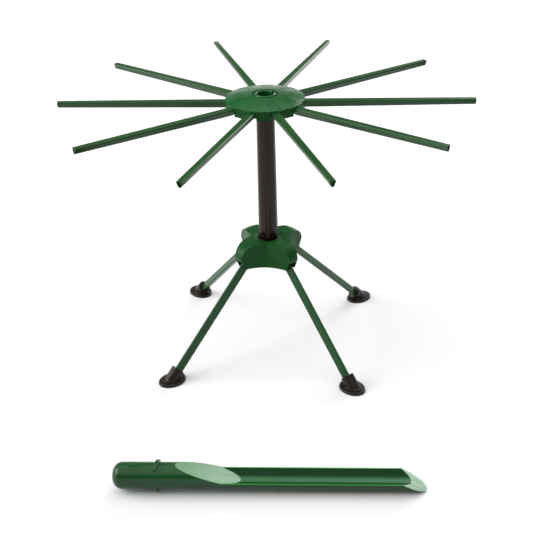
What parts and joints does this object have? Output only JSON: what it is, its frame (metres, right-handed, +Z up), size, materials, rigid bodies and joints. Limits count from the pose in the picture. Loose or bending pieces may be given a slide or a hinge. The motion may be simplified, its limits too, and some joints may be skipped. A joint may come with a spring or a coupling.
{
  "type": "pasta drying rack",
  "caption": "Folding pasta drying rack: radial arms on a turning column, splayed legs on rubber feet, and a grooved transfer wand lying in front.",
  "frame": {"origin": "on the floor, midway between the arm that reaches farthest back and the wand's front side, and midway across; the column's axis is 38 mm behind it", "axes": "+Z up; +Y towards the back, -Y towards the wand and the viewer; +X to the viewer's right, along the wand to its tip"},
  "size_m": [0.4198, 0.4823, 0.2865],
  "materials": {
    "green_plastic": "smooth moulded, satin gloss",
    "dark_plastic": "glossy, smoky dark brown",
    "black_plastic": "satin",
    "rubber": "soft, satin",
    "steel": "drawn"
  },
  "bodies": {
    "stand": {"base_body": "green_plastic", "base_plate": "green_plastic", "column_collar": "black_plastic", "leg_pins": "steel"},
    "head": {"column": "dark_plastic", "hub_body": "green_plastic", "hub_cover": "green_plastic", "socket_ring": "green_plastic"},
    "arm_01": {"arm_01": "green_plastic"},
    "arm_02": {"arm_02": "green_plastic"},
    "arm_03": {"arm_03": "green_plastic"},
    "arm_04": {"arm_04": "green_plastic"},
    "arm_05": {"arm_05": "green_plastic"},
    "arm_06": {"arm_06": "green_plastic"},
    "arm_07": {"arm_07": "green_plastic"},
    "arm_08": {"arm_08": "green_plastic"},
    "arm_09": {"arm_09": "green_plastic"},
    "arm_10": {"arm_10": "green_plastic"},
    "leg_1": {"leg_1": "green_plastic", "foot_1": "rubber"},
    "leg_2": {"leg_2": "green_plastic", "foot_2": "rubber"},
    "leg_3": {"leg_3": "green_plastic", "foot_3": "rubber"},
    "leg_4": {"leg_4": "green_plastic", "foot_4": "rubber"},
    "wand": {"transfer_wand": "green_plastic"}
  },
  "joints": [
    {"name": "head_turn", "type": "hinge", "parent": "stand", "child": "head", "pos_m": [0, 0.038, 0.127], "axis": [0, 0, 1], "continuous": true},
    {"name": "arm_01_fold", "type": "hinge", "parent": "head", "child": "arm_01", "pos_m": [0.02895, 0.03653, 0.2785], "axis": [0.0506, 0.9987, 0], "range_deg": [0, 80]},
    {"name": "arm_02_fold", "type": "hinge", "parent": "head", "child": "arm_02", "pos_m": [0.02429, 0.05383, 0.2785], "axis": [-0.5461, 0.8377, 0], "range_deg": [0, 80]},
    {"name": "arm_03_fold", "type": "hinge", "parent": "head", "child": "arm_03", "pos_m": [0.01034, 0.06508, 0.2785], "axis": [-0.9342, 0.3567, 0], "range_deg": [0, 80]},
    {"name": "arm_04_fold", "type": "hinge", "parent": "head", "child": "arm_04", "pos_m": [-0.00755, 0.06599, 0.2785], "axis": [-0.9655, -0.2605, 0], "range_deg": [0, 80]},
    {"name": "arm_05_fold", "type": "hinge", "parent": "head", "child": "arm_05", "pos_m": [-0.02256, 0.05621, 0.2785], "axis": [-0.628, -0.7782, 0], "range_deg": [0, 80]},
    {"name": "arm_06_fold", "type": "hinge", "parent": "head", "child": "arm_06", "pos_m": [-0.02895, 0.03947, 0.2785], "axis": [-0.0506, -0.9987, 0], "range_deg": [0, 80]},
    {"name": "arm_07_fold", "type": "hinge", "parent": "head", "child": "arm_07", "pos_m": [-0.02429, 0.02217, 0.2785], "axis": [0.5461, -0.8377, 0], "range_deg": [0, 80]},
    {"name": "arm_08_fold", "type": "hinge", "parent": "head", "child": "arm_08", "pos_m": [-0.01034, 0.01092, 0.2785], "axis": [0.9342, -0.3567, 0], "range_deg": [0, 80]},
    {"name": "arm_09_fold", "type": "hinge", "parent": "head", "child": "arm_09", "pos_m": [0.00755, 0.01001, 0.2785], "axis": [0.9655, 0.2605, 0], "range_deg": [0, 80]},
    {"name": "arm_10_fold", "type": "hinge", "parent": "head", "child": "arm_10", "pos_m": [0.02256, 0.01979, 0.2785], "axis": [0.628, 0.7782, 0], "range_deg": [0, 80]},
    {"name": "leg_1_fold", "type": "hinge", "parent": "stand", "child": "leg_1", "pos_m": [0.02046, 0.05404, 0.111], "axis": [-0.617, 0.7869, 0], "range_deg": [0, 44]},
    {"name": "leg_2_fold", "type": "hinge", "parent": "stand", "child": "leg_2", "pos_m": [-0.01604, 0.05846, 0.111], "axis": [-0.7869, -0.617, 0], "range_deg": [0, 44]},
    {"name": "leg_3_fold", "type": "hinge", "parent": "stand", "child": "leg_3", "pos_m": [-0.02046, 0.02196, 0.111], "axis": [0.617, -0.7869, 0], "range_deg": [0, 44]},
    {"name": "leg_4_fold", "type": "hinge", "parent": "stand", "child": "leg_4", "pos_m": [0.01604, 0.01754, 0.111], "axis": [0.7869, 0.617, 0], "range_deg": [0, 44]},
    {"name": "wand_lift", "type": "slide", "parent": "stand", "child": "wand", "axis": [0, 0, 1], "range_m": [0, 0.3]}
  ]
}
